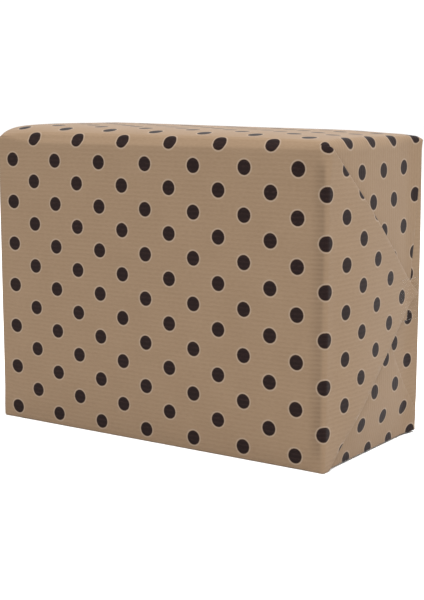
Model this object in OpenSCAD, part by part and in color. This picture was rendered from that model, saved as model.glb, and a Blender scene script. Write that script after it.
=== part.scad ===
// A wrapped gift box: a taped corrugated carton inside one folded sheet of paper.
// Millimetres, +Z up. The origin is at the middle of the resting face, the front faces -Y,
// and the two folded ends face +X and -X.

/* [Parcel] */
// Length, from one folded end to the other
parcel_length = 178; // [160:1:200]
// Depth, from the front face to the back face
parcel_depth = 86; // [80:1:100]
// Height, from the resting face to the top face
parcel_height = 136.5; // [126:0.5:160]

/* [Wrapping sheet] */
// Thickness that each layer of paper is given
paper_t = 0.25; // [0.15:0.05:0.3]
// Air between two neighbouring layers
layer_gap = 0.05; // [0.05:0.01:0.08]
// Paper that runs past each end of the carton before it is folded in
end_allowance = 82; // [78:1:84]
// Radius of the sheet round the four long edges
long_edge_r = 4; // [3.5:0.5:5]
// Radius of the sheet where it turns onto an end
end_edge_r = 6; // [5.5:0.5:7]
// Height at which the outer layer of the back seam ends
seam_z = 44; // [34:1:60]
// Width of the overlap at the back seam
seam_overlap = 36; // [24:1:50]

/* [Folds] */
// Angle of the front flap's slanted edges from the upright corner
front_fold_angle = 49.4; // [48:0.1:51]
// Set-back of the front flap's lower slanted edge along the bottom corner
lower_fold_setback = 8.5; // [6:0.5:10]
// Angle of the top flap's side edges from the upright corners
top_flap_taper = 5; // [3:0.5:7]
// Angle of the bottom flap's back edge from the upright corner
bottom_flap_angle = 36.6; // [34:0.1:40]
// Height at which the bottom flap's back edge leaves the corner
bottom_flap_rise = 8.8; // [6:0.2:12]
// Distance of the front flap's blunt tip from the back face
tip_inset = 4; // [3:0.5:6]

/* [Tape] */
// Thickness of the clear tape
tape_t = 0.1; // [0.08:0.01:0.12]
// Width of the clear tape
tape_w = 19; // [12:1:19]
// Length of the end tape on the front flap
tape_on_flap = 16; // [12:1:30]
// Length of the end tape on the back face
tape_on_back = 10; // [8:1:20]
// Length of each tape strip on the back seam
seam_tape_length = 40; // [30:1:60]
// Width of the parcel tape on the carton
carton_tape_w = 36; // [30:1:48]
// Length of the parcel tape's ends down the carton's sides
carton_tape_leg = 28; // [20:1:40]

/* [Carton] */
// Thickness of the corrugated board
board_t = 1.5; // [1.2:0.1:1.8]
// Width of the carton's glued joint
glue_flap_w = 25; // [20:1:30]

/* [Hidden] */
$fn = 96;

kraft = [0.62, 0.52, 0.42];
kraft_light = [0.68, 0.58, 0.47];
board = [0.72, 0.58, 0.42];
clear_tape = [0.86, 0.87, 0.84];
brown_tape = [0.66, 0.48, 0.28];

half_depth = parcel_depth / 2;
layer = paper_t + layer_gap;

// Outer planes of the layers on an end, counted inwards from the tape on the tip.
x_tape = parcel_length / 2;
x_front_flap = x_tape - tape_t - layer_gap;
x_front_tucks = x_front_flap - layer;
x_top_flap = x_front_tucks - layer - layer_gap;
x_bottom_flap = x_top_flap - layer;
x_back_tucks = x_bottom_flap - layer;
x_back_flap = x_back_tucks - layer;

// Outer planes of the back: tape, outer layer of the seam, inner layer of the seam.
y_back_tape = half_depth;
y_back_lap = y_back_tape - tape_t - layer_gap;
y_back_inner = y_back_lap - layer;

// Half length of the sleeve between the two end turns.
sleeve_half = x_back_flap - end_edge_r;

// The carton fills the sleeve, with its tape between the two.
carton_front = -half_depth + layer;
carton_back = y_back_inner - layer;
carton_depth = carton_back - carton_front;
carton_mid = (carton_front + carton_back) / 2;
carton_half = x_back_flap - layer - tape_t - layer_gap;
carton_floor = layer + tape_t + layer_gap;
carton_roof = parcel_height - carton_floor;
board_layer = board_t + layer_gap;
fit_slack = 0.5;
corner_r = end_edge_r - fit_slack;
long_crease_r = long_edge_r - fit_slack;
side_crease_r = end_edge_r - 2;
side_leg = 0.5;
long_leg = side_leg + board_layer + side_crease_r - long_crease_r;
wall_floor = carton_floor + board_layer + side_crease_r + side_leg;
wall_roof = parcel_height - wall_floor;
flap_reach = carton_depth / 2 - 0.4;
flap_corner = 3;

// Upper and lower slanted edges of the front flap, as heights at a distance from the front face.
fold_slope = 1 / tan(front_fold_angle);
function upper_fold_z(run) = parcel_height - 0.8 - run * fold_slope;
function lower_fold_z(run) = (run - lower_fold_setback) * fold_slope;
tip_run = parcel_depth - tip_inset;
tip_mid_z = (upper_fold_z(tip_run) + lower_fold_z(tip_run)) / 2;
tuck_split = 0.4;

// A plate on the right-hand end: an outline in (y, z) and the plane of its outer face.
module end_plate(outer_x, thickness, outline) {
  translate([outer_x - thickness, 0, 0])
    rotate([90, 0, 90])
      linear_extrude(thickness)
        polygon(outline);
}

// A quarter turn of paper of outer radius end_edge_r about the origin, in the first quadrant.
module turn_profile() {
  intersection() {
    difference() {
      circle(r = end_edge_r);
      circle(r = end_edge_r - paper_t);
    }
    square(end_edge_r + 1);
  }
}

// An upright turn between the front or back face (side -1 or 1) and the right-hand end.
module upright_turn(outer_x, outer_y, side) {
  translate([outer_x - end_edge_r, outer_y - side * end_edge_r, long_edge_r])
    linear_extrude(parcel_height - 2 * long_edge_r)
      scale([1, side])
        turn_profile();
}

// The level run from the sleeve's edge and the turn between the top or bottom face (side 1 or -1)
// and the right-hand end.
module level_turn(outer_x, outer_z, side) {
  run = outer_x - end_edge_r - sleeve_half;
  translate([outer_x - end_edge_r, half_depth - long_edge_r, outer_z - side * end_edge_r])
    rotate([90, 0, 0])
      linear_extrude(parcel_depth - 2 * long_edge_r)
        scale([1, side]) {
          turn_profile();
          translate([-run, end_edge_r - paper_t]) square([run, paper_t]);
        }
}

// The right-hand end's pieces are drawn once and mirrored for the left-hand end.
module on_left() {
  mirror([1, 0, 0]) children();
}

module rounded_rect(x0, y0, x1, y1, r) {
  square_points = [[x0 + r, y0 + r], [x1 - r, y0 + r], [x1 - r, y1 - r], [x0 + r, y1 - r]];
  union() {
    translate([x0 + r, y0]) square([x1 - x0 - 2 * r, y1 - y0]);
    translate([x0, y0 + r]) square([x1 - x0, y1 - y0 - 2 * r]);
    for (p = square_points) translate(p) circle(r = r);
  }
}

// ---- Carton -------------------------------------------------------------------------------

module carton_walls() {
  color(board)
    translate([0, 0, wall_floor])
      linear_extrude(wall_roof - wall_floor)
        difference() {
          rounded_rect(-carton_half, carton_front, carton_half, carton_back, corner_r);
          rounded_rect(-carton_half + board_t, carton_front + board_t,
                       carton_half - board_t, carton_back - board_t, corner_r - board_t);
        }
}

// The joint that closes the blank, glued inside the back wall near the left-hand corner.
module carton_glue_flap() {
  x0 = -carton_half + corner_r + layer_gap;
  y0 = carton_back - board_t - layer_gap;
  margin = 1;
  slope = 8;
  color(board)
    translate([0, y0, 0])
      rotate([90, 0, 0])
        linear_extrude(board_t)
          polygon([
            [x0, wall_floor + margin], [x0 + glue_flap_w, wall_floor + margin + slope],
            [x0 + glue_flap_w, wall_roof - margin - slope], [x0, wall_roof - margin]
          ]);
}

// Section of a closing flap: up from the wall's edge at the origin, round the crease, and in.
module flap_section(crease_r, leg) {
  square([board_t, leg]);
  translate([crease_r, leg])
    intersection() {
      difference() {
        circle(r = crease_r);
        circle(r = crease_r - board_t);
      }
      translate([-crease_r - 1, 0]) square(crease_r + 1);
    }
  translate([crease_r, leg + crease_r - board_t]) square([flap_reach - crease_r, board_t]);
}

// A closing flap of the top, folded in along +X from a wall at x = 0. Its free corners are clipped.
module closing_flap(width, crease_r, leg) {
  difference() {
    rotate([90, 0, 0])
      translate([0, 0, -width / 2])
        linear_extrude(width)
          flap_section(crease_r, leg);
    for (side = [-1, 1])
      translate([flap_reach, side * width / 2, leg])
        rotate([0, 0, 45])
          translate([-flap_corner, -flap_corner, 0])
            cube([2 * flap_corner, 2 * flap_corner, crease_r + 1]);
  }
}

module top_side_flap(side) {
  width = carton_depth - 2 * (long_crease_r + 0.1);
  color(board)
    translate([side * carton_half, carton_mid, wall_roof])
      rotate([0, 0, side > 0 ? 180 : 0])
        closing_flap(width, side_crease_r, side_leg);
}

module top_long_flap(side) {
  width = 2 * (carton_half - corner_r - 0.1);
  color(board)
    translate([0, side > 0 ? carton_back : carton_front, wall_roof])
      rotate([0, 0, side > 0 ? -90 : 90])
        closing_flap(width, long_crease_r, long_leg);
}

// Parcel tape over the joint between the two long flaps, with both ends turned down.
module carton_top_tape() {
  turn_r = end_edge_r - paper_t - layer_gap;
  reach = carton_half + layer_gap + tape_t;
  high = carton_roof + layer_gap + tape_t;
  color(brown_tape)
    translate([0, carton_mid + carton_tape_w / 2, 0])
      rotate([90, 0, 0])
        linear_extrude(carton_tape_w) {
          translate([-reach + turn_r, high - tape_t]) square([2 * (reach - turn_r), tape_t]);
          for (side = [-1, 1])
            scale([side, 1]) {
              translate([reach - tape_t, high - turn_r - carton_tape_leg])
                square([tape_t, carton_tape_leg]);
              translate([reach - turn_r, high - turn_r])
                intersection() {
                  difference() {
                    circle(r = turn_r);
                    circle(r = turn_r - tape_t);
                  }
                  square(turn_r + 1);
                }
            }
        }
}

// The carton's bottom closes like its top.
module at_bottom() {
  translate([0, 0, parcel_height]) mirror([0, 0, 1]) children();
}

// ---- Sheet round the carton ---------------------------------------------------------------

// Section of the sheet: front, top and bottom faces, and the inner layer of the back seam.
module sleeve_section() {
  difference() {
    rounded_rect(-half_depth, 0, y_back_inner, parcel_height, long_edge_r);
    rounded_rect(-half_depth + paper_t, paper_t, y_back_inner - paper_t,
                 parcel_height - paper_t, long_edge_r - paper_t);
    translate([y_back_inner - long_edge_r, seam_z + seam_overlap])
      square([long_edge_r + 1, parcel_height]);
  }
}

module along_length(half) {
  translate([-half, 0, 0])
    rotate([90, 0, 90])
      linear_extrude(2 * half)
        children();
}

module wrap_sleeve() {
  color(kraft) {
    along_length(sleeve_half) sleeve_section();
    front_turn();
    on_left() front_turn();
  }
}

// The front face's own run to the upright corner, and the turn that the front flap hinges on.
module front_turn() {
  run = x_front_flap - end_edge_r - sleeve_half;
  translate([sleeve_half, -half_depth, long_edge_r])
    cube([run, paper_t, parcel_height - 2 * long_edge_r]);
  upright_turn(x_front_flap, -half_depth, -1);
}

// Section of the outer layer of the back seam, hung from the top long edge.
module lap_section() {
  intersection() {
    difference() {
      rounded_rect(-half_depth, 0, y_back_lap, parcel_height, long_edge_r);
      rounded_rect(-half_depth + paper_t, paper_t, y_back_lap - paper_t,
                   parcel_height - paper_t, long_edge_r - paper_t);
    }
    translate([y_back_inner - long_edge_r + layer, seam_z])
      square([long_edge_r + 1, parcel_height - seam_z + 1]);
  }
}

module wrap_back_lap() {
  color(kraft) along_length(sleeve_half) lap_section();
}

// Three strips of clear tape across the edge of the seam.
module seam_tape() {
  color(clear_tape)
    for (x = [-1, 0, 1] * parcel_length * 0.3)
      translate([x - tape_w / 2, y_back_tape - tape_t, seam_z - seam_tape_length / 2])
        cube([tape_w, tape_t, seam_tape_length]);
}

// ---- Right-hand end, in the order in which it is folded -----------------------------------

// Back flap: turned in first, with the steep upper edge and the nearly level lower edge that
// the two folds at its corners leave.
module back_flap() {
  y0 = y_back_inner - end_edge_r;
  reach = end_allowance - end_edge_r;
  upper = 1 / tan(95 - 45);
  lower = 1 / tan(bottom_flap_angle + 45);
  upright_turn(x_back_flap, y_back_inner, 1);
  end_plate(x_back_flap, paper_t, [
    [y0, long_edge_r], [y0, parcel_height - long_edge_r],
    [y0 - reach, parcel_height - long_edge_r - reach * upper],
    [y0 - reach, long_edge_r + reach * lower]
  ]);
}

// Paper caught between the back flap and the flaps above it, one triangle at each corner.
module back_tucks() {
  corner_y = y_back_inner - end_edge_r;
  top_z = parcel_height - end_edge_r;
  long_run = end_allowance - 12;
  drop = top_z - tip_mid_z - tuck_split;
  end_plate(x_back_tucks, paper_t, [
    [corner_y, top_z], [corner_y - drop * tan(top_flap_taper), top_z - drop],
    [corner_y - drop * tan(50), top_z - drop]
  ]);
  low_z = end_edge_r;
  rise = tip_mid_z - tuck_split - low_z;
  end_plate(x_back_tucks, paper_t, [
    [corner_y, low_z], [corner_y - long_run, low_z + long_run / tan(bottom_flap_angle + 45)],
    [corner_y - rise * tan(bottom_flap_angle), low_z + rise]
  ]);
}

module bottom_flap() {
  front_y = -half_depth + end_edge_r;
  back_y = y_back_inner - end_edge_r;
  top_z = end_allowance;
  lean = tan(bottom_flap_angle) * (top_z - bottom_flap_rise - end_edge_r);
  level_turn(x_bottom_flap, 0, -1);
  end_plate(x_bottom_flap, paper_t, [
    [front_y, end_edge_r], [back_y, end_edge_r], [back_y, bottom_flap_rise + end_edge_r],
    [back_y - lean, top_z], [front_y + top_z * tan(top_flap_taper), top_z]
  ]);
}

module top_flap() {
  front_y = -half_depth + end_edge_r;
  back_y = y_back_inner - 1;
  top_z = parcel_height - end_edge_r;
  low_z = parcel_height - end_allowance;
  nip_z = low_z + 28;
  back_at_nip = back_y - (top_z - nip_z) * tan(top_flap_taper);
  level_turn(x_top_flap, parcel_height, 1);
  end_plate(x_top_flap, paper_t, [
    [front_y, top_z], [back_y, top_z], [back_at_nip, nip_z], [back_at_nip - 7, nip_z - 7],
    [back_at_nip - 24, low_z], [front_y + (top_z - low_z) * tan(top_flap_taper), low_z]
  ]);
}

// Front flap: the last one down, a blunt triangle between its two slanted folds.
module front_flap() {
  front_run = end_edge_r + layer_gap;
  low_run = lower_fold_setback + long_edge_r / fold_slope;
  end_plate(x_front_flap, paper_t, [
    [-half_depth + front_run, long_edge_r], [-half_depth + low_run, long_edge_r],
    [-half_depth + tip_run, lower_fold_z(tip_run)], [-half_depth + tip_run, upper_fold_z(tip_run)],
    [-half_depth + front_run, upper_fold_z(front_run)]
  ]);
}

// The front flap's own folded-under corners, which stay with it when it opens.
module front_tucks() {
  front_run = end_edge_r + 2;
  inner_run = front_run + 6;
  low_run = lower_fold_setback + long_edge_r / fold_slope + 1;
  end_plate(x_front_tucks, paper_t, [
    [-half_depth + front_run, upper_fold_z(front_run) - 1],
    [-half_depth + inner_run, tip_mid_z + tuck_split],
    [-half_depth + tip_run - 1, tip_mid_z + tuck_split],
    [-half_depth + tip_run - 1, upper_fold_z(tip_run)]
  ]);
  end_plate(x_front_tucks, paper_t, [
    [-half_depth + low_run, long_edge_r + 1],
    [-half_depth + tip_run - 1, lower_fold_z(tip_run)],
    [-half_depth + tip_run - 1, tip_mid_z - tuck_split],
    [-half_depth + inner_run, tip_mid_z - tuck_split]
  ]);
}

// Clear tape over the tip of the front flap, round the back corner and onto the back face.
module end_tape() {
  r = 3;
  y0 = -half_depth + tip_run - tape_on_flap;
  translate([0, 0, tip_mid_z - tape_w / 2])
    linear_extrude(tape_w) {
      translate([x_tape - tape_t, y0]) square([tape_t, y_back_tape - r - y0]);
      translate([x_tape - r, y_back_tape - r])
        intersection() {
          difference() {
            circle(r = r);
            circle(r = r - tape_t);
          }
          square(r + 1);
        }
      translate([x_tape - r - tape_on_back, y_back_tape - tape_t]) square([tape_on_back, tape_t]);
    }
}

module right_back_flap() { color(kraft) back_flap(); }
module right_back_tucks() { color(kraft) back_tucks(); }
module right_bottom_flap() { color(kraft_light) bottom_flap(); }
module right_top_flap() { color(kraft_light) top_flap(); }
module right_front_flap() { color(kraft_light) front_flap(); }
module right_front_tucks() { color(kraft) front_tucks(); }
module right_end_tape() { color(clear_tape) end_tape(); }

carton_walls();
carton_glue_flap();
top_side_flap(-1);  // carton_top_flap_left
top_side_flap(1);  // carton_top_flap_right
top_long_flap(-1);  // carton_top_flap_front
top_long_flap(1);  // carton_top_flap_back
at_bottom() top_side_flap(-1);  // carton_bottom_flap_left
at_bottom() top_side_flap(1);  // carton_bottom_flap_right
at_bottom() top_long_flap(-1);  // carton_bottom_flap_front
at_bottom() top_long_flap(1);  // carton_bottom_flap_back
carton_top_tape();
at_bottom() carton_top_tape();  // carton_bottom_tape
wrap_sleeve();
wrap_back_lap();
seam_tape();
right_back_flap();
right_back_tucks();
right_bottom_flap();
right_top_flap();
right_front_flap();
right_front_tucks();
right_end_tape();
on_left() right_back_flap();  // left_back_flap
on_left() right_back_tucks();  // left_back_tucks
on_left() right_bottom_flap();  // left_bottom_flap
on_left() right_top_flap();  // left_top_flap
on_left() right_front_flap();  // left_front_flap
on_left() right_front_tucks();  // left_front_tucks
on_left() right_end_tape();  // left_end_tape
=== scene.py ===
"""A gift box wrapped in dotted, ribbed kraft paper, with folded and taped ends.

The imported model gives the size, the bodies and the joints. This script makes
the wrapping sheet with its folds, the tapes, the finishes, the floor, the
lights and the camera. Lengths are in metres unless a name says otherwise.
"""
import logging
import math
from dataclasses import dataclass, field
from enum import Enum
from typing import Callable, Iterable, Sequence

import bmesh
import bpy
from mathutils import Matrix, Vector, noise


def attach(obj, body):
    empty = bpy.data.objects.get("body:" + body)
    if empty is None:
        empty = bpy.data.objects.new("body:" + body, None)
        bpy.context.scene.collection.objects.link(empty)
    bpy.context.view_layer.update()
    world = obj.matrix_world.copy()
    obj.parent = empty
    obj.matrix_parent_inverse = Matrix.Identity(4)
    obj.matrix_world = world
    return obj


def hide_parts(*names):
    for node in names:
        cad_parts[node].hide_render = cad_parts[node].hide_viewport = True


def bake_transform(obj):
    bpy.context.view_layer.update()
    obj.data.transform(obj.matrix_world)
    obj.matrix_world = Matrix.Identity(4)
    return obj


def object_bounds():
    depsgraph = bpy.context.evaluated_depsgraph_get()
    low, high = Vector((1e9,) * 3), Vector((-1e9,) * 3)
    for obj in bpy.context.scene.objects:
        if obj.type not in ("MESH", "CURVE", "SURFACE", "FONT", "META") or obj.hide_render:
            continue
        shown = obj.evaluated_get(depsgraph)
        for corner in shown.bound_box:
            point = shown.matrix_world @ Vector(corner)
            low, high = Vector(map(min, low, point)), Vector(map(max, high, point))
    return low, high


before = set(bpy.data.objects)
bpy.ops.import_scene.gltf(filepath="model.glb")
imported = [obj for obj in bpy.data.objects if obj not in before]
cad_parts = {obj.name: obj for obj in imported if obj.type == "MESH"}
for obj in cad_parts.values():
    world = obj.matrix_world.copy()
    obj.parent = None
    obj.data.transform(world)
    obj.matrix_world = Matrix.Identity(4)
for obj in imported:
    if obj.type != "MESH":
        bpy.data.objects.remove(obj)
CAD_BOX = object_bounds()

log = logging.getLogger("wrapped_box")

MM = 0.001
SHARP_ANGLE = math.radians(62.0)
WELD = 0.02 * MM
TURN_LINES = (0.0, 0.25, 0.5, 0.75, 1.0)
Socket = bpy.types.NodeSocket
Number = float | Socket
Value = Number | Sequence[float]
Point = tuple[float, float]


class End(Enum):
    """The two folded ends of the parcel, with the direction that each faces."""

    RIGHT = 1
    LEFT = -1

    @property
    def word(self) -> str:
        """The end's name as the frame's nodes and bodies spell it."""
        return self.name.lower()


class Panel(Enum):
    """The four long panels of the sleeve, each of which ends in a flap."""

    FRONT = "front"
    TOP = "top"
    BACK = "back"
    BOTTOM = "bottom"


def smooth(t: float) -> float:
    """Ease from 0 to 1 as t goes from 0 to 1."""
    t = min(max(t, 0.0), 1.0)
    return t * t * (3.0 - 2.0 * t)


def mix(a: float, b: float, t: float) -> float:
    """Blend a into b as t goes from 0 to 1."""
    return a + (b - a) * t


def stations(
    start: float,
    end: float,
    step: float,
    fine: Iterable[Point] = (),
    fine_step: float = 0.8 * MM,
) -> list[float]:
    """Choose where the grid lines of a sheet run.

    Args:
        start: First line.
        end: Last line.
        step: Widest gap between two lines.
        fine: Spans, as (from, to), that get closer lines.
        fine_step: Widest gap inside a fine span.

    Returns:
        The places in rising order.
    """
    marks = {start, end}
    for low, high in fine:
        marks.update(m for m in (low, high) if start < m < end)
    ordered = sorted(marks)
    places = [ordered[0]]
    for low, high in zip(ordered, ordered[1:]):
        middle = 0.5 * (low + high)
        gap = fine_step if any(a <= middle <= b for a, b in fine) else step
        count = max(1, math.ceil((high - low) / gap - 1e-6))
        places.extend(low + (high - low) * (i + 1) / count for i in range(count))
    return places


# ---------------------------------------------------------------- the form

@dataclass(frozen=True)
class ParcelForm:
    """The outer form that the paper is drawn over: a box with soft edges and full ends.

    A point is first named on the sharp-edged box, then moved onto the soft form.
    """

    half_length: float
    half_depth: float
    height: float
    top_edge: float = 4.0 * MM
    low_edge: float = 0.9 * MM
    right_front_corner: float = 1.5 * MM
    left_front_corner: float = 1.8 * MM
    left_edge: float = 1.3 * MM
    back_corner: float = 1.0 * MM
    low_turn: float = 1.4 * MM
    fullness: float = 1.9 * MM
    fullest_at: float = 34.0 * MM
    back_stand: float = 2.0 * MM
    left_stand: float = 2.4 * MM
    crown: float = 4.3 * MM
    crown_slope: float = 0.33
    right_ebb: float = 0.62
    left_ebb: float = 1.0
    crown_reach: float = 7.0 * MM
    back_crown_reach: float = 1.6 * MM
    crown_paper: float = 2.4 * MM
    ripple: float = 0.16 * MM

    def front_corner(self, x: float) -> float:
        """Radius of the upright front corner at the end that x is nearer."""
        return self.right_front_corner if x > 0.0 else self.left_front_corner

    def edge_radius(self, p: Vector) -> float:
        """Radius of the paper's bend near a point of the sharp box.

        Args:
            p: Point on the sharp box.

        Returns:
            The radius, which eases from one edge's value to the next one's.
        """
        upright = smooth((min(p.z, self.height - p.z) - 4.0 * MM) / (12.0 * MM))
        near_front = 1.0 - smooth((p.y + self.half_depth) / (30.0 * MM))
        near_back = 1.0 - smooth((self.half_depth - p.y) / (30.0 * MM))
        across = smooth((self.half_depth - abs(p.y) - 4.0 * MM) / (12.0 * MM))
        low = (1.0 - smooth(p.z / (25.0 * MM))) * across
        level = mix(self.low_edge, self.top_edge, smooth((p.z / self.height - 0.3) / 0.4))
        level = mix(level, self.left_edge, smooth((-p.x / self.half_length - 0.75) / 0.2))
        return (
            level
            + (self.front_corner(p.x) - level) * near_front * upright
            + (self.back_corner - level) * near_back
            + (self.low_turn - level) * low
        )

    def swell(self, run: float, z: float) -> float:
        """How far an end stands proud of its flat plane.

        Args:
            run: Distance across the end, from the front face.
            z: Height.

        Returns:
            The swell outward.
        """
        t = max(run, 0.0) / self.fullest_at
        across = (t * math.exp(1.0 - t)) ** 2.2
        up = smooth(z / (22.0 * MM)) * (0.25 + 0.75 * smooth((self.height - z - 5.0 * MM) / (45.0 * MM)))
        return self.fullness * across * up + self.back_stand * smooth((run - 73.0 * MM) / (14.0 * MM))

    def rise(self, p: Vector) -> float:
        """How far the top stands above its flat plane at a point of the sharp box."""
        run = p.y + self.half_depth
        full = self.crown * (1.0 - self.crown_slope * p.x / self.half_length)
        ebb, width = (self.right_ebb, 40.0 * MM) if p.x > 0.0 else (self.left_ebb, 16.0 * MM)
        full *= mix(ebb, 1.0, smooth((self.half_length - abs(p.x)) / width))
        front = 1.0 - math.exp(-max(run, 0.0) / self.crown_reach)
        back = 1.0 - math.exp(-max(2.0 * self.half_depth - run, 0.0) / self.back_crown_reach)
        return full * front * back

    def waver(self, p: Vector) -> float:
        """Slow ripple of hand-wrapped paper at a point of the sharp box."""
        slow = noise.noise(Vector((p.x * 17.0, p.y * 19.0 + 3.1, p.z * 23.0)))
        quick = noise.noise(Vector((p.x * 43.0 + 7.7, p.y * 47.0, p.z * 61.0)))
        return self.ripple * (slow + 0.35 * quick)

    def place(self, p: Vector, lift: float) -> Vector:
        """Move a point of the sharp box onto the soft form.

        Args:
            p: Point on the sharp box.
            lift: Distance out from the form's outer skin; less than 0 is inside.

        Returns:
            The point on the paper.
        """
        r = self.edge_radius(p)
        inner = Vector((
            min(max(p.x, r - self.half_length), self.half_length - r),
            min(max(p.y, r - self.half_depth), self.half_depth - r),
            min(max(p.z, r), self.height - r),
        ))
        out = p - inner
        if out.length < 1e-9:
            return p.copy()
        out.normalize()
        spot = inner + out * (r + lift)
        spot += out * self.waver(p) * (1.0 - smooth(-2.0 * out.z)) * (1.0 - 0.8 * abs(out.x))
        if out.x:
            spot.x += math.copysign(self.swell(p.y + self.half_depth, p.z), out.x) * out.x * out.x
        if out.z > 0.0:
            spot.z += self.rise(p) * out.z
        spot.x -= self.left_stand * smooth((-p.x / self.half_length - 0.9) / 0.1)
        spot.z = max(spot.z, 0.0)
        return spot

    def bend_length(self, distance: float, radius: float) -> float:
        """Paper used between an edge's crest and a point at some distance from it on the sharp box."""
        if distance >= radius:
            return radius * math.pi / 4.0 + distance - radius
        return radius * (math.pi / 4.0 - math.atan((radius - distance) / radius))

    def girth(self, panel: Panel, b: float) -> float:
        """Place round the sheet of a point on a panel.

        Args:
            panel: The panel that the point is on.
            b: Distance across the panel: the height on the front and back, and
                the distance from the front face on the top and bottom.

        Returns:
            The place, which equals the height on the front panel.
        """
        low, high = self.low_edge, self.top_edge
        low_saved, high_saved = (r * (1.0 - math.pi / 4.0) for r in (low, high))
        depth = 2.0 * self.half_depth

        def paper(b: float, width: float, first: float, last: float) -> float:
            """Paper from one crest of a panel to b, between edges of the two radii."""
            half = 0.5 * width
            if b <= half:
                return self.bend_length(b, first) if b > 0 else b
            far = width - b
            whole = self.bend_length(half, first) + self.bend_length(half, last)
            return whole - (self.bend_length(far, last) if far > 0 else far)

        if panel is Panel.FRONT:
            return low_saved + paper(b, self.height, low, high)
        if panel is Panel.TOP:
            crowned = self.crown_paper * smooth(b / (8.0 * MM))
            return self.height - high_saved + paper(b, depth, high, high) + crowned
        if panel is Panel.BOTTOM:
            return low_saved - paper(b, depth, low, low)
        past_top = self.height + depth - 3.0 * high_saved + self.crown_paper
        return past_top + paper(self.height - b, self.height, high, low)


# ---------------------------------------------------------------- folding

@dataclass(frozen=True)
class Crease:
    """A straight fold: the paper past it turns under and lies flat beneath."""

    through: Point
    past: Point
    radius: float

    @classmethod
    def along(cls, first: Point, second: Point, inside: Point, radius: float = 0.15 * MM) -> "Crease":
        """Make the crease through two points.

        Args:
            first: One point on the crease.
            second: Another point on it.
            inside: A point on the side that stays flat.
            radius: Radius of the turn.

        Returns:
            The crease.
        """
        dx, dy = second[0] - first[0], second[1] - first[1]
        size = math.hypot(dx, dy)
        nx, ny = dy / size, -dx / size
        if (inside[0] - first[0]) * nx + (inside[1] - first[1]) * ny > 0:
            nx, ny = -nx, -ny
        return cls(first, (nx, ny), radius)

    def beyond(self, p: Point) -> float:
        """Distance of a point past the crease; less than 0 is on the flat side."""
        return (p[0] - self.through[0]) * self.past[0] + (p[1] - self.through[1]) * self.past[1]

    def turn(self, p: Point) -> tuple[Point, float]:
        """Fold a flat point.

        Args:
            p: The point on the flat sheet.

        Returns:
            Where it lies after the fold, and how deep beneath the sheet.
        """
        d = self.beyond(p)
        if d <= 0:
            return p, 0.0
        arc = math.pi * self.radius
        if d < arc:
            angle = d / self.radius
            shift, depth = self.radius * math.sin(angle) - d, self.radius * (1.0 - math.cos(angle))
        else:
            shift, depth = -(d - arc) - d, 2.0 * self.radius
        return (p[0] + self.past[0] * shift, p[1] + self.past[1] * shift), depth


@dataclass(frozen=True)
class PrintDrift:
    """How far the print has slid where the paper was pulled round a corner.

    The slide starts just before the edge. A second part grows past the edge.
    """

    along: float = 0.0
    across: float = 0.0
    across_tilt: float = 0.0
    later: float = 0.0
    later_tilt: float = 0.0
    across_later_tilt: float = 0.0
    reach: float = 9.0 * MM

    def at(self, a: float, b: float) -> Point:
        """The slide at a point.

        Args:
            a: Distance past the edge.
            b: Distance across the panel.

        Returns:
            The slide along the parcel and round it.
        """
        near = smooth((a + 9.0 * MM) / (9.0 * MM))
        far = smooth((a - 1.0 * MM) / self.reach)
        along = self.along * near + (self.later + self.later_tilt * b) * far
        across = (self.across + self.across_tilt * b) * near + self.across_later_tilt * b * far
        return along, across


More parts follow.
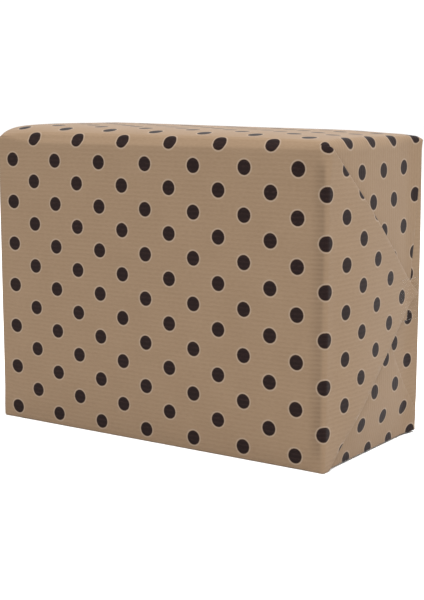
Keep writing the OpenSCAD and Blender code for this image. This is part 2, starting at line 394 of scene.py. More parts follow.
class PaperMesh:
    """A mesh of paper under construction, with its place on the flat sheet kept as a UV map."""

    def __init__(self, name: str) -> None:
        """Start an empty mesh.

        Args:
            name: Name of the finished piece.
        """
        self.name = name
        self.points: list[Vector] = []
        self.flats: list[Point] = []
        self.faces: list[list[int]] = []

    def add_patch(
        self,
        rows: Sequence[float],
        columns: Sequence[float],
        shape: Callable[[Point], tuple[Vector, Point]],
        flip: bool,
        creases: Sequence[Crease] = (),
        trims: Sequence[Crease] = (),
    ) -> None:
        """Add one flat piece of the sheet, cut, folded and laid in place.

        Args:
            rows: Grid lines in the first flat direction.
            columns: Grid lines in the second.
            shape: Gives a flat point's place in space and on the sheet.
            flip: Turns the faces over.
            creases: Folds, each of which gets lines along its turn.
            trims: Cuts; the paper past each is taken off.
        """
        work = bmesh.new()
        grid = [[work.verts.new((a, b, 0.0)) for b in columns] for a in rows]
        for i in range(len(rows) - 1):
            for j in range(len(columns) - 1):
                work.faces.new((grid[i][j], grid[i + 1][j], grid[i + 1][j + 1], grid[i][j + 1]))
        lines = [(c, part, False) for c in creases for part in TURN_LINES]
        lines += [(t, 0.0, True) for t in trims]
        for line, part, clear in lines:
            reach = part * math.pi * line.radius
            bmesh.ops.bisect_plane(
                work,
                geom=work.verts[:] + work.edges[:] + work.faces[:],
                dist=1e-8,
                plane_co=(*(t + p * reach for t, p in zip(line.through, line.past)), 0.0),
                plane_no=(*line.past, 0.0),
                clear_outer=clear,
            )
        work.verts.index_update()
        base = len(self.points)
        for vert in work.verts:
            spot, flat = shape((vert.co.x, vert.co.y))
            self.points.append(spot)
            self.flats.append(flat)
        for face in work.faces:
            loop = [base + v.index for v in face.verts]
            self.faces.append(loop[::-1] if flip else loop)
        work.free()

    def build(
        self,
        outside: bpy.types.Material,
        inside: bpy.types.Material | None,
        thickness: float,
    ) -> bpy.types.Object:
        """Finish the piece.

        Args:
            outside: Finish of the printed side.
            inside: Finish of the other side, or None for a sheet of one finish.
            thickness: Thickness, laid inward.

        Returns:
            The object, with no modifier left on it.
        """
        mesh = bpy.data.meshes.new(self.name)
        mesh.from_pydata([tuple(p) for p in self.points], [], self.faces)
        layer = mesh.uv_layers.new(name="Sheet")
        for loop in mesh.loops:
            layer.data[loop.index].uv = self.flats[loop.vertex_index]
        join = bmesh.new()
        join.from_mesh(mesh)
        rim = [v for v in join.verts if v.is_boundary]
        bmesh.ops.remove_doubles(join, verts=rim, dist=WELD)
        join.to_mesh(mesh)
        join.free()
        mesh.materials.append(outside)
        if inside is not None:
            mesh.materials.append(inside)
        for polygon in mesh.polygons:
            polygon.use_smooth = True
        piece = bpy.data.objects.new(self.name, mesh)
        bpy.context.scene.collection.objects.link(piece)
        body = piece.modifiers.new("thickness", "SOLIDIFY")
        body.thickness = thickness
        body.offset = -1.0
        if inside is not None:
            body.material_offset = 1
            body.material_offset_rim = 1
        graph = bpy.context.evaluated_depsgraph_get()
        solid = bpy.data.meshes.new_from_object(piece.evaluated_get(graph))
        piece.modifiers.clear()
        piece.data = solid
        solid.name = self.name
        solid.set_sharp_from_angle(angle=SHARP_ANGLE)
        bpy.data.meshes.remove(mesh)
        log.info("%s: %d faces", self.name, len(solid.polygons))
        return piece


# ---------------------------------------------------------------- finishes

class Wiring:
    """Places shader nodes in one tree and joins them."""

    def __init__(self, tree: bpy.types.NodeTree) -> None:
        """Work in the given tree."""
        self.tree = tree

    def plug(self, socket: Socket, value: Value) -> None:
        """Join a socket to an input, or set the input to a plain value."""
        if isinstance(value, Socket):
            self.tree.links.new(value, socket)
        else:
            socket.default_value = value

    def node(
        self,
        kind: str,
        inputs: dict[str | int, Value] | None = None,
        **settings: object,
    ) -> bpy.types.Node:
        """Add a node.

        Args:
            kind: Blender's node type.
            inputs: Values or sockets for its inputs.
            **settings: Properties to set on it.

        Returns:
            The node.
        """
        made = self.tree.nodes.new(kind)
        for key, value in settings.items():
            setattr(made, key, value)
        for key, value in (inputs or {}).items():
            self.plug(made.inputs[key], value)
        return made

    def math(self, operation: str, *values: Number) -> Socket:
        """Add a Math node and give its result."""
        return self.node("ShaderNodeMath", dict(enumerate(values)), operation=operation).outputs[0]

    def noise(
        self,
        vector: Socket,
        scale: Number,
        detail: float,
        stretch: Sequence[float] = (1.0, 1.0, 1.0),
    ) -> Socket:
        """Add noise.

        Args:
            vector: Where it is read.
            scale: Features per metre.
            detail: Octaves.
            stretch: Scale of each direction.

        Returns:
            The noise, about 0 to 1.
        """
        moved = self.node("ShaderNodeVectorMath", {0: vector, 1: stretch}, operation="MULTIPLY").outputs[0]
        inputs = {"Vector": moved, "Scale": scale, "Detail": detail}
        return self.node("ShaderNodeTexNoise", inputs).outputs["Fac"]

    def stray(
        self,
        vector: Socket,
        scale: float,
        detail: float,
        amount: Number,
        stretch: Sequence[float] = (1.0, 1.0, 1.0),
    ) -> Socket:
        """Add noise that strays to either side of nought, over a span of the given amount."""
        centred = self.math("SUBTRACT", self.noise(vector, scale, detail, stretch), 0.5)
        return self.math("MULTIPLY", centred, amount)

    def blend(self, amount: Number, first: Value, second: Value) -> Socket:
        """Add a colour Mix node and give its result."""
        return self.node("ShaderNodeMix", {0: amount, 6: first, 7: second}, data_type="RGBA").outputs[2]

    def fade(self, value: Number, low: Number, high: Number, start: float = 0.0, end: float = 1.0) -> Socket:
        """Add a smooth Map Range from (low, high) to (start, end) and give its result."""
        inputs = {0: value, 1: low, 2: high, 3: start, 4: end}
        return self.node("ShaderNodeMapRange", inputs, interpolation_type="SMOOTHSTEP").outputs[0]


def new_group(
    name: str,
    inputs: dict[str, float | None],
    outputs: Sequence[str],
) -> tuple[Wiring, bpy.types.Node, bpy.types.Node]:
    """Start a shader node group.

    Args:
        name: Its name.
        inputs: Input names with their standard values; None makes a vector input.
        outputs: Names of its outputs, all numbers.

    Returns:
        The group's wiring, its input node and its output node.
    """
    group = bpy.data.node_groups.new(name, "ShaderNodeTree")
    for label, value in inputs.items():
        kind = "NodeSocketVector" if value is None else "NodeSocketFloat"
        socket = group.interface.new_socket(name=label, in_out="INPUT", socket_type=kind)
        if value is not None:
            socket.default_value = value
    for label in outputs:
        group.interface.new_socket(name=label, in_out="OUTPUT", socket_type="NodeSocketFloat")
    return Wiring(group), group.nodes.new("NodeGroupInput"), group.nodes.new("NodeGroupOutput")


class Effects:
    """The surface effects that several finishes share, each a node group built once."""

    def __init__(self) -> None:
        """Build the groups."""
        self.ribs = self._ribs()
        self.dots = self._dots()
        self.fibres = self._fibres()
        self.corner_painted_shade = self._corner_painted_shade()

    def _ribs(self) -> bpy.types.NodeTree:
        """Fine straight ribs pressed along the sheet."""
        w, given, result = new_group("Pressed ribs", {"Sheet": None, "Pitch": 0.002}, ("Height", "Tone"))
        sheet = given.outputs["Sheet"]
        at = w.node("ShaderNodeSeparateXYZ", {0: sheet})
        sway = w.stray(sheet, 30.0, 1.0, 0.0006, (0.4, 1.0, 1.0))
        turns = w.math("DIVIDE", w.math("ADD", at.outputs[1], sway), given.outputs["Pitch"])
        wave = w.math("MULTIPLY_ADD", w.math("SINE", w.math("MULTIPLY", turns, 2.0 * math.pi)), 0.5, 0.5)
        depth = w.fade(w.noise(sheet, 140.0, 2.0, (0.25, 1.0, 1.0)), 0.25, 0.7, 0.45, 1.0)
        for label, power in (("Height", 0.8), ("Tone", 1.5)):
            w.plug(result.inputs[label], w.math("MULTIPLY", w.math("POWER", wave, power), depth))
        return w.tree

    def _dots(self) -> bpy.types.NodeTree:
        """Round dots printed in staggered columns."""
        standard = {
            "Sheet": None, "Column Pitch": 0.02615, "Row Pitch": 0.02, "Radius": 0.0033,
            "First Column": 0.0, "First Row": 0.0, "Edge": 0.00014, "Bleed": 0.00012,
        }
        w, given, result = new_group("Printed dots", standard, ("Ink", "Rim"))
        sheet, radius, soft = (given.outputs[label] for label in ("Sheet", "Radius", "Edge"))
        at = w.node("ShaderNodeSeparateXYZ", {0: sheet})
        u = w.math("SUBTRACT", at.outputs[0], given.outputs["First Column"])
        v = w.math("SUBTRACT", at.outputs[1], given.outputs["First Row"])
        half_column = w.math("MULTIPLY", given.outputs["Column Pitch"], 0.5)
        half_row = w.math("MULTIPLY", given.outputs["Row Pitch"], 0.5)

        def distance(u: Socket, v: Socket) -> Socket:
            """Distance to the nearest dot of one set of columns."""
            across = w.math("WRAP", u, half_column, w.math("MULTIPLY", half_column, -1.0))
            up = w.math("WRAP", v, half_row, w.math("MULTIPLY", half_row, -1.0))
            return w.math("SQRT", w.math("MULTIPLY_ADD", across, across, w.math("MULTIPLY", up, up)))

        staggered = distance(w.math("ADD", u, half_column), w.math("ADD", v, half_row))
        nearest = w.math("MINIMUM", distance(u, v), staggered)
        edge = w.math("ADD", nearest, w.stray(sheet, 900.0, 2.0, given.outputs["Bleed"]))
        ink = w.fade(edge, w.math("SUBTRACT", radius, soft), w.math("ADD", radius, soft), 1.0, 0.0)
        w.plug(result.inputs["Ink"], ink)
        off_rim = w.math("ABSOLUTE", w.math("SUBTRACT", edge, w.math("ADD", radius, 0.0004)))
        w.plug(result.inputs["Rim"], w.fade(off_rim, 0.0, 0.0005, 1.0, 0.0))
        return w.tree

    def _corner_painted_shade(self) -> bpy.types.NodeTree:
        """Painted shade: a soft dark band on the front, beside its upright corner at the right end."""
        standard = {"Sheet": None, "Place": 0.086, "Width": 0.005, "Height": 0.13}
        w, given, result = new_group("Corner painted shade", standard, ("Soil",))
        sheet = given.outputs["Sheet"]
        at = w.node("ShaderNodeSeparateXYZ", {0: sheet})
        swayed = w.math("ADD", at.outputs[0], w.stray(sheet, 14.0, 1.0, 0.002))
        off = w.math("SUBTRACT", swayed, given.outputs["Place"])
        before = w.fade(off, w.math("MULTIPLY", given.outputs["Width"], -1.0), 0.0)
        after = w.fade(off, 0.0, 0.0018, 1.0, 0.0)
        below_top = w.math("SUBTRACT", given.outputs["Height"], at.outputs[1])
        ends = w.math("MULTIPLY", w.fade(at.outputs[1], 0.0, 0.012), w.fade(below_top, 0.0, 0.006))
        uneven = w.fade(w.noise(sheet, 18.0, 1.0), 0.3, 0.7, 0.38, 0.58)
        band = w.math("MULTIPLY", w.math("MULTIPLY", before, after), uneven)
        w.plug(result.inputs["Soil"], w.math("MULTIPLY", band, ends))
        return w.tree

    def _fibres(self) -> bpy.types.NodeTree:
        """Mottle and fine fibres of unbleached pulp."""
        standard = {"Sheet": None, "Grain": 1800.0}
        w, given, result = new_group("Paper fibres", standard, ("Mottle", "Fleck", "Height"))
        sheet = given.outputs["Sheet"]
        w.plug(result.inputs["Mottle"], w.noise(sheet, 55.0, 3.0))
        fine = w.noise(sheet, given.outputs["Grain"], 3.0, (0.3, 1.0, 1.0))
        w.plug(result.inputs["Fleck"], w.fade(fine, 0.3, 0.7))
        w.plug(result.inputs["Height"], fine)
        return w.tree


class Finish:
    """A material under construction: a Principled surface with its wiring."""

    def __init__(self, name: str, settings: dict[str, float | Sequence[float]]) -> None:
        """Start the material.

        Args:
            name: Its name.
            settings: Values that are the same all over, set on the shader itself.
        """
        self.material = bpy.data.materials.new(name)
        self.material.use_nodes = True
        self.material.node_tree.nodes.clear()
        self.w = Wiring(self.material.node_tree)
        self.surface = self.w.node("ShaderNodeBsdfPrincipled", dict(settings))
        self.w.node("ShaderNodeOutputMaterial", {"Surface": self.surface.outputs[0]})

    def sheet(self) -> Socket:
        """Place on the flat sheet, in metres."""
        return self.w.node("ShaderNodeUVMap", uv_map="Sheet").outputs[0]

    def solid(self) -> Socket:
        """Place in the object, in metres."""
        return self.w.node("ShaderNodeTexCoord").outputs["Object"]

    def group(self, tree: bpy.types.NodeTree, inputs: dict[str, Number]) -> bpy.types.Node:
        """Place a shared effect with this finish's own values."""
        return self.w.node("ShaderNodeGroup", inputs, node_tree=tree)

    def feed(self, label: str, value: Socket) -> None:
        """Join a value to one of the shader's inputs."""
        self.w.plug(self.surface.inputs[label], value)

    def relief(self, *layers: tuple[Socket, float]) -> None:
        """Emboss the surface.

        Args:
            *layers: Each a height from 0 to 1 and its depth in metres.
        """
        normal: Socket | None = None
        for height, depth in layers:
            bump = self.w.node("ShaderNodeBump", {"Height": height, "Distance": depth, "Strength": 1.0})
            if normal is not None:
                self.w.plug(bump.inputs["Normal"], normal)
            normal = bump.outputs[0]
        if normal is not None:
            self.feed("Normal", normal)


@dataclass(frozen=True)
class PrintedKraft:
    """The outside of the wrapping: ribbed brown kraft with dark printed dots."""

    pale: Sequence[float] = (0.212, 0.147, 0.095, 1.0)
    deep: Sequence[float] = (0.165, 0.110, 0.068, 1.0)
    rim: Sequence[float] = (0.265, 0.207, 0.160, 1.0)
    # Colour of the painted shade band beside the right front corner.
    painted_shade_colour: Sequence[float] = (0.110, 0.073, 0.046, 1.0)
    ink: Sequence[float] = (0.0110, 0.0062, 0.0058, 1.0)
    worn_ink: Sequence[float] = (0.021, 0.012, 0.011, 1.0)
    rib_pitch: float = 1.992 * MM
    column_pitch: float = 26.152 * MM
    row_pitch: float = 20.0 * MM
    dot_radius: float = 3.23 * MM
    first_column: float = 88.28 * MM
    first_row: float = 15.74 * MM
    # Where the painted shade band lies across the sheet, how wide it is and how high it reaches.
    soil_place: float = 86.0 * MM
    soil_width: float = 6.0 * MM
    soil_height: float = 131.0 * MM

    def make(self, effects: Effects) -> bpy.types.Material:
        """Build the material.

        Args:
            effects: The shared node groups.

        Returns:
            The material.
        """
        finish = Finish("Printed kraft", {
            "Specular IOR Level": 0.03, "Sheen Weight": 0.12, "Sheen Roughness": 0.35,
        })
        w, sheet = finish.w, finish.sheet()
        ribs = finish.group(effects.ribs, {"Sheet": sheet, "Pitch": self.rib_pitch})
        fibres = finish.group(effects.fibres, {"Sheet": sheet, "Grain": 1800.0})
        dots = finish.group(effects.dots, {
            "Sheet": sheet, "Column Pitch": self.column_pitch, "Row Pitch": self.row_pitch,
            "Radius": self.dot_radius, "First Column": self.first_column, "First Row": self.first_row,
        })
        flecks = w.math("MULTIPLY", fibres.outputs["Fleck"], 0.34)
        shade = w.math("MULTIPLY_ADD", fibres.outputs["Mottle"], 0.45, flecks)
        kraft = w.blend(shade, self.deep, self.pale)
        # Painted shade: darkens the front in a soft band just left of its right upright corner.
        corner_shade = finish.group(effects.corner_painted_shade, {
            "Sheet": sheet, "Place": self.soil_place, "Width": self.soil_width, "Height": self.soil_height,
        })
        kraft = w.blend(corner_shade.outputs["Soil"], kraft, self.painted_shade_colour)
        kraft = w.blend(w.math("MULTIPLY", ribs.outputs["Tone"], 0.4), kraft, self.pale)
        kraft = w.blend(w.math("MULTIPLY", dots.outputs["Rim"], 0.6), kraft, self.rim)
        wear = w.math("MULTIPLY", ribs.outputs["Tone"], fibres.outputs["Fleck"])
        ink = w.blend(wear, self.ink, self.worn_ink)
        finish.feed("Base Color", w.blend(dots.outputs["Ink"], kraft, ink))
        finish.feed("Roughness", w.fade(dots.outputs["Ink"], 0.0, 1.0, 0.60, 0.56))
        finish.relief((fibres.outputs["Height"], 0.02 * MM), (ribs.outputs["Height"], 0.036 * MM))
        return finish.material


@dataclass(frozen=True)
class PlainKraft:
    """The inside of the wrapping: the same paper without print."""

    pale: Sequence[float] = (0.400, 0.290, 0.200, 1.0)
    deep: Sequence[float] = (0.320, 0.225, 0.150, 1.0)
    rib_pitch: float = 1.992 * MM

    def make(self, effects: Effects) -> bpy.types.Material:
        """Build the material.

        Args:
            effects: The shared node groups.

        Returns:
            The material.
        """
        finish = Finish("Plain kraft", {"Roughness": 0.78, "Specular IOR Level": 0.35})
        w, sheet = finish.w, finish.sheet()
        ribs = finish.group(effects.ribs, {"Sheet": sheet, "Pitch": self.rib_pitch})
        fibres = finish.group(effects.fibres, {"Sheet": sheet, "Grain": 1400.0})
        flecks = w.math("MULTIPLY", fibres.outputs["Fleck"], 0.3)
        shade = w.math("MULTIPLY_ADD", fibres.outputs["Mottle"], 0.6, flecks)
        finish.feed("Base Color", w.blend(shade, self.deep, self.pale))
        finish.relief((fibres.outputs["Height"], 0.03 * MM), (ribs.outputs["Height"], 0.03 * MM))
        return finish.material


@dataclass(frozen=True)
class ClearTape:
    """Matt clear tape: an almost invisible film whose long edges catch the light.

    The film's UV map runs across its width from 0 to the width.
    """

    tint: Sequence[float] = (0.42, 0.38, 0.33, 1.0)
    cloudy: Sequence[float] = (0.50, 0.46, 0.41, 1.0)
    width: float = 19.0 * MM
    rim: float = 0.35 * MM
    rim_alpha: float = 0.10
    least_alpha: float = 0.002
    most_alpha: float = 0.004

    def make(self, effects: Effects) -> bpy.types.Material:
        """Build the material.

        Args:
            effects: The shared node groups.

        Returns:
            The material.
        """
        finish = Finish("Clear tape", {"Roughness": 0.38, "Specular IOR Level": 0.3})
        w, sheet = finish.w, finish.sheet()
        fibres = finish.group(effects.fibres, {"Sheet": sheet, "Grain": 700.0})
        finish.feed("Base Color", w.blend(fibres.outputs["Mottle"], self.tint, self.cloudy))
        up = w.node("ShaderNodeSeparateXYZ", {0: sheet}).outputs[1]
        off = w.math("ABSOLUTE", w.math("SUBTRACT", up, 0.5 * self.width))
        edge = w.fade(off, 0.5 * self.width - self.rim, 0.5 * self.width, 0.0, self.rim_alpha)
        body = w.fade(fibres.outputs["Mottle"], 0.3, 0.7, self.least_alpha, self.most_alpha)
        finish.feed("Alpha", w.math("ADD", edge, body))
        finish.feed("Roughness", w.fade(fibres.outputs["Fleck"], 0.0, 1.0, 0.34, 0.44))
        finish.relief((fibres.outputs["Height"], 0.01 * MM))
        return finish.material


@dataclass(frozen=True)
class BrownTape:
    """Glossy brown parcel tape on the carton."""

    base: Sequence[float] = (0.36, 0.20, 0.085, 1.0)
    streak: Sequence[float] = (0.43, 0.26, 0.12, 1.0)

    def make(self, effects: Effects) -> bpy.types.Material:
        """Build the material.

        Args:
            effects: The shared node groups.

        Returns:
            The material.
        """
        finish = Finish("Brown parcel tape", {"Roughness": 0.22, "Specular IOR Level": 0.5})
        w = finish.w
        fibres = finish.group(effects.fibres, {"Sheet": finish.solid(), "Grain": 500.0})
        finish.feed("Base Color", w.blend(fibres.outputs["Mottle"], self.base, self.streak))
        finish.feed("Roughness", w.fade(fibres.outputs["Fleck"], 0.0, 1.0, 0.16, 0.3))
        finish.relief((fibres.outputs["Mottle"], 0.08 * MM))
        return finish.material


@dataclass(frozen=True)
class Corrugated:
    """Brown corrugated board, with the flutes showing faintly through its liner."""

    pale: Sequence[float] = (0.42, 0.28, 0.165, 1.0)
    deep: Sequence[float] = (0.33, 0.21, 0.12, 1.0)
    flute: float = 3.2 * MM

    def make(self, effects: Effects) -> bpy.types.Material:
        """Build the material.

        Args:
            effects: The shared node groups.

        Returns:
            The material.
        """
        finish = Finish("Corrugated board", {"Roughness": 0.8, "Specular IOR Level": 0.3})
        w, solid = finish.w, finish.solid()
        quarter = {"Vector": solid, "Angle": math.pi / 2.0}
        turned = w.node("ShaderNodeVectorRotate", quarter, rotation_type="Z_AXIS")
        flutes = finish.group(effects.ribs, {"Sheet": turned.outputs[0], "Pitch": self.flute})
        fibres = finish.group(effects.fibres, {"Sheet": solid, "Grain": 1200.0})
        flecks = w.math("MULTIPLY", fibres.outputs["Fleck"], 0.5)
        shade = w.math("MULTIPLY_ADD", flutes.outputs["Tone"], 0.35, flecks)
        finish.feed("Base Color", w.blend(shade, self.deep, self.pale))
        finish.relief((fibres.outputs["Height"], 0.04 * MM), (flutes.outputs["Height"], 0.06 * MM))
        return finish.material


# ---------------------------------------------------------------- the wrapping

@dataclass
class Wrapping:
    """The one sheet of paper: a sleeve lapped at the back, with four flaps folded in at each end."""

    form: ParcelForm
    outside: bpy.types.Material
    inside: bpy.types.Material
    thickness: float = 0.10 * MM
    allowance: float = 82.0 * MM
    turn_in: float = 9.0 * MM
    seam_height: float = 44.0 * MM
    seam_overlap: float = 36.0 * MM
    outer_lap_lift: float = -0.15 * MM
    inner_lap_lift: float = -0.45 * MM
    lip: float = 1.5 * MM
    upper_slope: float = 0.866
    lower_slope: float = 0.857
    upper_start: float = -0.3 * MM
    lower_setback: float = 3.6 * MM
    top_taper: float = 6.8
    top_inset: float = 1.2 * MM
    top_trim_taper: float = 4.4
    top_trim_inset: float = 0.3 * MM
    back_upper_slope: float = 0.839
    back_lower_slope: float = 0.1477
    bottom_angle: float = 36.6
    bottom_rise: float = 8.8 * MM
    bow: float = 1.2 * MM
    bow_length: float = 84.0 * MM
    lifts: dict[Panel, float] = field(default_factory=lambda: {
        Panel.FRONT: 0.30 * MM, Panel.TOP: -0.85 * MM, Panel.BOTTOM: -1.00 * MM, Panel.BACK: -1.40 * MM,
    })
    drifts: dict[Panel, PrintDrift] = field(default_factory=lambda: {
        Panel.FRONT: PrintDrift(
            along=-0.5 * MM, across=-1.05 * MM, across_tilt=0.0088, later=-1.55 * MM, later_tilt=0.009,
        ),
        Panel.TOP: PrintDrift(along=1.0 * MM, across=-1.0 * MM),
        Panel.BOTTOM: PrintDrift(
            along=-1.65 * MM, across=-4.0 * MM, later_tilt=0.0125, across_later_tilt=0.061, reach=20.0 * MM,
        ),
        Panel.BACK: PrintDrift(along=3.6 * MM, across=3.2 * MM),
    })

    def sharp(self, panel: Panel, a: float, b: float) -> Vector:
        """Name a point of the right end on the sharp box.

        Args:
            panel: The panel that the flap continues.
            a: Distance past the end's edge; less than 0 is still on the sleeve.
            b: Distance across the panel.

        Returns:
            The point on the sharp box.
        """
        f = self.form
        x = f.half_length + min(a, 0.0)
        run = max(a, 0.0)
        if panel is Panel.FRONT:
            under = min(b, 0.0) * smooth(a / (3.0 * MM))
            return Vector((x + under, run - f.half_depth, max(b, 0.0)))
        if panel is Panel.TOP:
            return Vector((x, b - f.half_depth, f.height - run))
        if panel is Panel.BACK:
            return Vector((x, f.half_depth - run, b))
        return Vector((x, b - f.half_depth, run))

    def sheet_place(self, end: End, panel: Panel, a: float, b: float) -> Point:
        """Place on the flat sheet of a point of an end.

        Args:
            end: Which end of the parcel.
            panel: The panel that the flap continues.
            a: Distance past the end's edge.
            b: Distance across the panel.

        Returns:
            The place along the parcel and round it.
        """
        f = self.form
        spot = self.sharp(panel, a, b)
        spot.x *= end.value
        r = f.edge_radius(spot)
        crest = f.half_length - r * (1.0 - math.pi / 4.0)
        along = crest + math.copysign(f.bend_length(abs(a), r), a)
        if end is End.LEFT:
            along += f.left_stand * smooth(1.0 + 10.0 * a / f.half_length)
        drift = self.drifts[panel].at(a, b)
        return end.value * (along + drift[0]), f.girth(panel, b) + drift[1]

    def flap_shape(
        self,
        end: End,
        panel: Panel,
        creases: Sequence[Crease],
    ) -> Callable[[Point], tuple[Vector, Point]]:
        """Say how a flap's flat points are folded and laid.

        Args:
            end: Which end of the parcel.
            panel: The panel that the flap continues.
            creases: Its folds.

        Returns:
            A function from a flat point to its place in space and on the sheet.
        """
        side = end.value
        bow = self.bow if panel is Panel.FRONT else 0.0

        def bowed(p: Point) -> Point:
            """Curve the slanted edges slightly, as stiff paper does."""
            share = 0.2 + 1.1 * p[1] / self.form.height
            part = min(max(p[0] / self.bow_length, 0.0), 1.0)
            return p[0], p[1] + bow * share * math.sin(math.pi * part)

        def shape(flat: Point) -> tuple[Vector, Point]:
            """Fold and lay one flat point."""
            spot, sunk = flat, 0.0
            for crease in creases:
                spot, depth = crease.turn(spot)
                sunk += depth
            spot, flat = bowed(spot), bowed(flat)
            drop = self.lifts[panel] * smooth((spot[0] + self.turn_in) / (self.turn_in + 4.0 * MM))
            p = self.sharp(panel, *spot)
            p.x *= side
            place = self.form.place(p, drop - sunk)
            return place, self.sheet_place(end, panel, *flat)

        return shape

    def columns(self, panel: Panel, low: float = 0.0) -> list[float]:
        """Grid lines across a panel, shared by the sleeve and the flaps.

        Args:
            panel: The panel.
            low: Where the lines start; less than 0 adds a lip.

        Returns:
            The lines' places across the panel.
        """
        f = self.form
        width = f.height if panel in (Panel.FRONT, Panel.BACK) else 2.0 * f.half_depth
        lines = stations(0.0, width, 3.0 * MM, [(0.0, 6.0 * MM), (width - 6.0 * MM, width)], 0.6 * MM)
        return ([low] if low < 0.0 else []) + lines

    def add_flap(
        self,
        mesh: PaperMesh,
        end: End,
        panel: Panel,
        creases: Sequence[Crease],
        trims: Sequence[Crease],
        low: float = 0.0,
    ) -> None:
        """Add one flap, with the strip of sleeve that leads into it.

        Args:
            mesh: The mesh that it joins.
            end: Which end of the parcel.
            panel: The panel that the flap continues.
            creases: Its folds.
            trims: Its cuts.
            low: Where the flap starts across the panel.
        """
        rows = stations(-self.turn_in, self.allowance, 3.0 * MM, [(-7.0 * MM, 7.0 * MM)], 0.6 * MM)
        flip = (panel in (Panel.TOP, Panel.FRONT)) == (end is End.LEFT)
        shape = self.flap_shape(end, panel, creases)
        mesh.add_patch(rows, self.columns(panel, low), shape, flip, creases, trims)

    def front_creases(self) -> list[Crease]:
        """The two slanted edges of a front flap."""
        top = self.form.height - self.upper_start
        reach = self.allowance
        inside = (20.0 * MM, 0.5 * self.form.height)
        upper = Crease.along((0.0, top), (reach, top - reach * self.upper_slope), inside, 0.42 * MM)
        low_end = (reach, (reach - self.lower_setback) * self.lower_slope)
        lower = Crease.along((self.lower_setback, 0.0), low_end, inside, 0.25 * MM)
        return [upper, lower]

    def make_front_flap(self, end: End) -> bpy.types.Object:
        """Make a front flap with its folded-under corners.

        Args:
            end: Which end of the parcel.

        Returns:
            The piece.
        """
        mesh = PaperMesh(f"{end.word}_front_flap_paper")
        self.add_flap(mesh, end, Panel.FRONT, self.front_creases(), [], low=-self.lip)
        return mesh.build(self.outside, self.inside, self.thickness)

    def add_under_flaps(self, mesh: PaperMesh, end: End) -> None:
        """Add the top, bottom and back flaps of an end.

        Args:
            mesh: The mesh that they join.
            end: Which end of the parcel.
        """
        f, reach = self.form, self.allowance
        depth = 2.0 * f.half_depth
        middle = (30.0 * MM, f.half_depth)
        taper = math.tan(math.radians(self.top_taper))
        trim = math.tan(math.radians(self.top_trim_taper))
        far = depth - self.top_inset
        top_back = Crease.along((0.0, far), (reach, far - reach * taper), middle)
        near = self.top_trim_inset
        top_front = Crease.along((0.0, near), (reach, near + reach * trim), middle)
        self.add_flap(mesh, end, Panel.TOP, [top_back], [top_front])
        lean = math.tan(math.radians(self.bottom_angle))
        low_end = (reach, depth - (reach - self.bottom_rise) * lean)
        low_back = Crease.along((self.bottom_rise, depth), low_end, (10.0 * MM, 20.0 * MM))
        self.add_flap(mesh, end, Panel.BOTTOM, [low_back], [])
        middle = (20.0 * MM, 0.5 * f.height)
        high = Crease.along((0.0, f.height), (reach, f.height - reach * self.back_upper_slope), middle)
        low = Crease.along((0.0, 0.0), (reach, reach * self.back_lower_slope), middle)
        self.add_flap(mesh, end, Panel.BACK, [], [high, low])

    def sleeve_shape(self, flat: Point) -> tuple[Vector, Point]:
        """Lay one point of the sleeve.

        Args:
            flat: Place along the parcel, and the distance round it from the
                bottom front edge, upward and then back over the top.

        Returns:
            The point in space and on the sheet.
        """
        f = self.form
        x, s = flat
        depth, lift = 2.0 * f.half_depth, 0.0
        if s < -depth:
            z = -depth - s
            p = Vector((x, f.half_depth, z))
            v = 4.0 * f.low_edge * (1.0 - math.pi / 4.0) - depth - z
            lift = self.inner_lap_lift * smooth(z / (12.0 * MM))
        elif s < 0.0:
            p = Vector((x, -f.half_depth - s, 0.0))
            v = f.girth(Panel.BOTTOM, -s)
        elif s <= f.height:
            p = Vector((x, -f.half_depth, s))
            v = f.girth(Panel.FRONT, s)
        elif s <= f.height + depth:
            p = Vector((x, s - f.height - f.half_depth, f.height))
            v = f.girth(Panel.TOP, s - f.height)
        else:
            z = 2.0 * f.height + depth - s
            p = Vector((x, f.half_depth, z))
            v = f.girth(Panel.BACK, z)
            lift = self.outer_lap_lift
        return f.place(p, lift), (x, v)

    def make_sleeve(self) -> bpy.types.Object:
        """Make the sleeve with the flaps that stay on it.

        Returns:
            The piece.
        """
        f = self.form
        mesh = PaperMesh("wrapping_sleeve_paper")
        depth, reach = 2.0 * f.half_depth, f.half_length - self.turn_in
        first = -depth - self.seam_height - self.seam_overlap
        last = 2.0 * f.height + depth - self.seam_height
        back = self.columns(Panel.BACK)
        marks = {first, last}
        marks.update(-depth - z for z in back)
        marks.update(-b for b in self.columns(Panel.BOTTOM))
        marks.update(self.columns(Panel.FRONT))
        marks.update(f.height + b for b in self.columns(Panel.TOP))
        marks.update(2.0 * f.height + depth - z for z in back)
        around = [m for m in sorted(marks) if first <= m <= last]
        around = [m for i, m in enumerate(around) if i == 0 or m - around[i - 1] > 0.01 * MM]
        mesh.add_patch(stations(-reach, reach, 4.0 * MM), around, self.sleeve_shape, False)
        for end in End:
            self.add_under_flaps(mesh, end)
        return mesh.build(self.outside, self.inside, self.thickness)

    def make(self) -> None:
        """Make the whole sheet and tie the sleeve to the parcel's body."""
        sleeve = self.make_sleeve()
        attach(sleeve, "parcel")
        replaced = ["wrap_sleeve", "wrap_back_lap"]
        parts = ("back_flap", "back_tucks", "bottom_flap", "top_flap")
        replaced += [f"{end.word}_{part}" for end in End for part in parts]
        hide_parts(*replaced)
        for end in End:
            flap = self.make_front_flap(end)
            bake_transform(flap)
            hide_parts(f"{end.word}_front_flap", f"{end.word}_front_tucks")


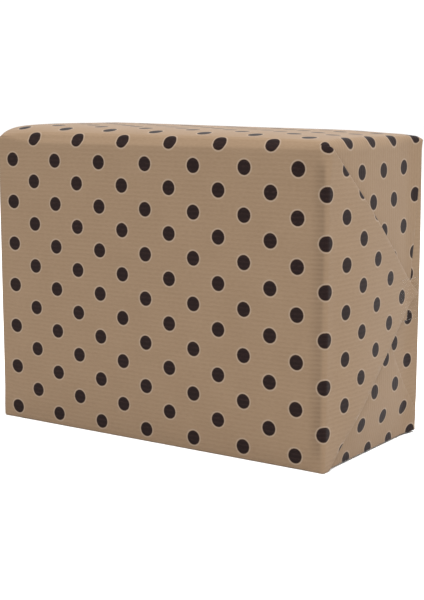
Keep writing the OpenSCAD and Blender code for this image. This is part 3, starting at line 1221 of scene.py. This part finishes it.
@dataclass
class Tapes:
    """The clear tape that holds the wrapping shut."""

    form: ParcelForm
    film: bpy.types.Material
    thickness: float = 0.05 * MM
    width: float = 19.0 * MM
    on_flap: float = 16.0 * MM
    on_back: float = 10.0 * MM
    tip: float = 82.0 * MM
    tip_height: float = 64.2 * MM
    strip: float = 40.0 * MM
    strip_gap: float = 53.4 * MM
    seam_height: float = 44.0 * MM

    def make_end_tape(self, end: End) -> bpy.types.Object:
        """Make the tape over a front flap's tip, which wraps the back corner.

        Args:
            end: Which end of the parcel.

        Returns:
            The piece.
        """
        f = self.form
        depth = 2.0 * f.half_depth

        def shape(flat: Point) -> tuple[Vector, Point]:
            """Lay one flat point of the tape."""
            run, z = flat
            lift = mix(0.40 * MM, -0.6 * MM, smooth((run - self.tip) / (3.0 * MM)))
            lift = mix(lift, -0.06 * MM, smooth((run - depth) / (5.0 * MM)))
            x = f.half_length - max(run - depth, 0.0)
            p = Vector((end.value * x, min(run, depth) - f.half_depth, z))
            return f.place(p, lift), (run, z - self.tip_height + 0.5 * self.width)

        mesh = PaperMesh(f"{end.word}_end_tape_film")
        bend = [(self.tip - MM, depth + 4.0 * MM)]
        rows = stations(self.tip - self.on_flap, depth + self.on_back, 2.0 * MM, bend, 0.5 * MM)
        low, high = self.tip_height - 0.5 * self.width, self.tip_height + 0.5 * self.width
        columns = stations(low, high, 2.0 * MM)
        mesh.add_patch(rows, columns, shape, end is End.LEFT)
        return mesh.build(self.film, None, self.thickness)

    def make_seam_tape(self) -> bpy.types.Object:
        """Make the three strips across the lower edge of the back seam.

        Returns:
            The piece.
        """
        f = self.form

        def shape(flat: Point) -> tuple[Vector, Point]:
            """Lay one flat point of a strip."""
            x, z = flat
            lift = mix(-0.36 * MM, -0.06 * MM, smooth((z - self.seam_height + MM) / MM))
            return f.place(Vector((x, f.half_depth, z)), lift), (x, z - self.seam_height + 0.5 * self.width)

        mesh = PaperMesh("seam_tape_film")
        columns = stations(
            self.seam_height - 0.5 * self.width, self.seam_height + 0.5 * self.width, 2.0 * MM,
            [(self.seam_height - 1.5 * MM, self.seam_height + 0.5 * MM)], 0.25 * MM,
        )
        for middle in (-self.strip_gap, 0.0, self.strip_gap):
            rows = stations(middle - 0.5 * self.strip, middle + 0.5 * self.strip, 2.0 * MM)
            mesh.add_patch(rows, columns, shape, True)
        return mesh.build(self.film, None, self.thickness)

    def make(self) -> None:
        """Make every tape and tie it to its body."""
        seam = self.make_seam_tape()
        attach(seam, "parcel")
        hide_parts("seam_tape")
        for end in End:
            tape = self.make_end_tape(end)
            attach(tape, f"{end.word}_flap")
            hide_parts(f"{end.word}_end_tape")


@dataclass
class Carton:
    """The taped carton inside, whose CAD pieces keep their shape and get their finishes."""

    board: bpy.types.Material
    tape: bpy.types.Material

    def dress(self) -> None:
        """Give each carton piece its finish."""
        for name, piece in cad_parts.items():
            if not name.startswith("carton_"):
                continue
            finish = self.tape if name.endswith("_tape") else self.board
            if not piece.material_slots:
                piece.data.materials.append(finish)
            for slot in piece.material_slots:
                slot.material = finish
            log.info("%s: %s", name, finish.name)


# ---------------------------------------------------------------- the studio

@dataclass
class Studio:
    """A pale floor, soft lights and the camera."""

    floor_size: float = 16.0
    eye: Sequence[float] = (0.3386, -0.4884, 0.1526)
    heading: float = 0.6016
    dip: float = 0.1637
    lens: float = 76.12
    shift_up: float = 0.019
    sky_strength: float = 1.1

    def make_floor(self) -> None:
        """Make the plain pale floor."""
        half = 0.5 * self.floor_size
        mesh = bpy.data.meshes.new("floor")
        corners = [(-half, -half, 0.0), (half, -half, 0.0), (half, half, 0.0), (-half, half, 0.0)]
        mesh.from_pydata(corners, [], [(0, 1, 2, 3)])
        floor = bpy.data.objects.new("floor", mesh)
        bpy.context.scene.collection.objects.link(floor)
        finish = Finish("Pale floor", {
            "Base Color": (0.93, 0.93, 0.93, 1.0), "Roughness": 0.9, "Specular IOR Level": 0.1,
        })
        mesh.materials.append(finish.material)

    def make_light(
        self,
        name: str,
        place: Sequence[float],
        aim: Sequence[float],
        size: float,
        power: float,
    ) -> None:
        """Add one soft square light.

        Args:
            name: Its name.
            place: Where it hangs.
            aim: The point it faces.
            size: Length of its sides.
            power: Its power in watts.
        """
        data = bpy.data.lights.new(name, "AREA")
        data.shape = "SQUARE"
        data.size = size
        data.energy = power
        lamp = bpy.data.objects.new(name, data)
        lamp.location = place
        lamp.rotation_euler = (Vector(aim) - Vector(place)).to_track_quat("-Z", "Y").to_euler()
        bpy.context.scene.collection.objects.link(lamp)

    def make_lights(self) -> None:
        """Light the parcel with an even pale sky and one soft light above."""
        world = bpy.data.worlds.new("studio")
        bpy.context.scene.world = world
        world.use_nodes = True
        sky = world.node_tree.nodes["Background"]
        sky.inputs[0].default_value = (1.0, 1.0, 1.0, 1.0)
        sky.inputs[1].default_value = self.sky_strength
        self.make_light("key", (0.4, -0.15, 1.8), (0.05, 0.0, 0.08), 1.1, 52.0)

    def make_camera(self) -> None:
        """Set up the camera."""
        data = bpy.data.cameras.new("camera")
        data.lens = self.lens
        data.sensor_width = 36.0
        data.shift_y = self.shift_up
        data.clip_start = 0.01
        data.dof.use_dof = False
        camera = bpy.data.objects.new("camera", data)
        camera.location = self.eye
        camera.rotation_euler = (math.pi / 2.0 - self.dip, 0.0, self.heading)
        bpy.context.scene.collection.objects.link(camera)
        bpy.context.scene.camera = camera

    def make(self) -> None:
        """Set the whole studio up."""
        scene = bpy.context.scene
        scene.view_settings.view_transform = "Standard"
        scene.view_settings.look = "None"
        self.make_floor()
        self.make_lights()
        self.make_camera()


def main() -> None:
    """Build the wrapped box and its studio."""
    logging.basicConfig(level=logging.INFO, format="%(name)s: %(message)s")
    low, high = CAD_BOX
    form = ParcelForm(0.5 * (high[0] - low[0]), 0.5 * (high[1] - low[1]), high[2] - low[2])
    effects = Effects()
    Wrapping(form, PrintedKraft().make(effects), PlainKraft().make(effects)).make()
    Tapes(form, ClearTape().make(effects)).make()
    Carton(Corrugated().make(effects), BrownTape().make(effects)).dress()
    Studio().make()


if __name__ == "__main__":
    main()
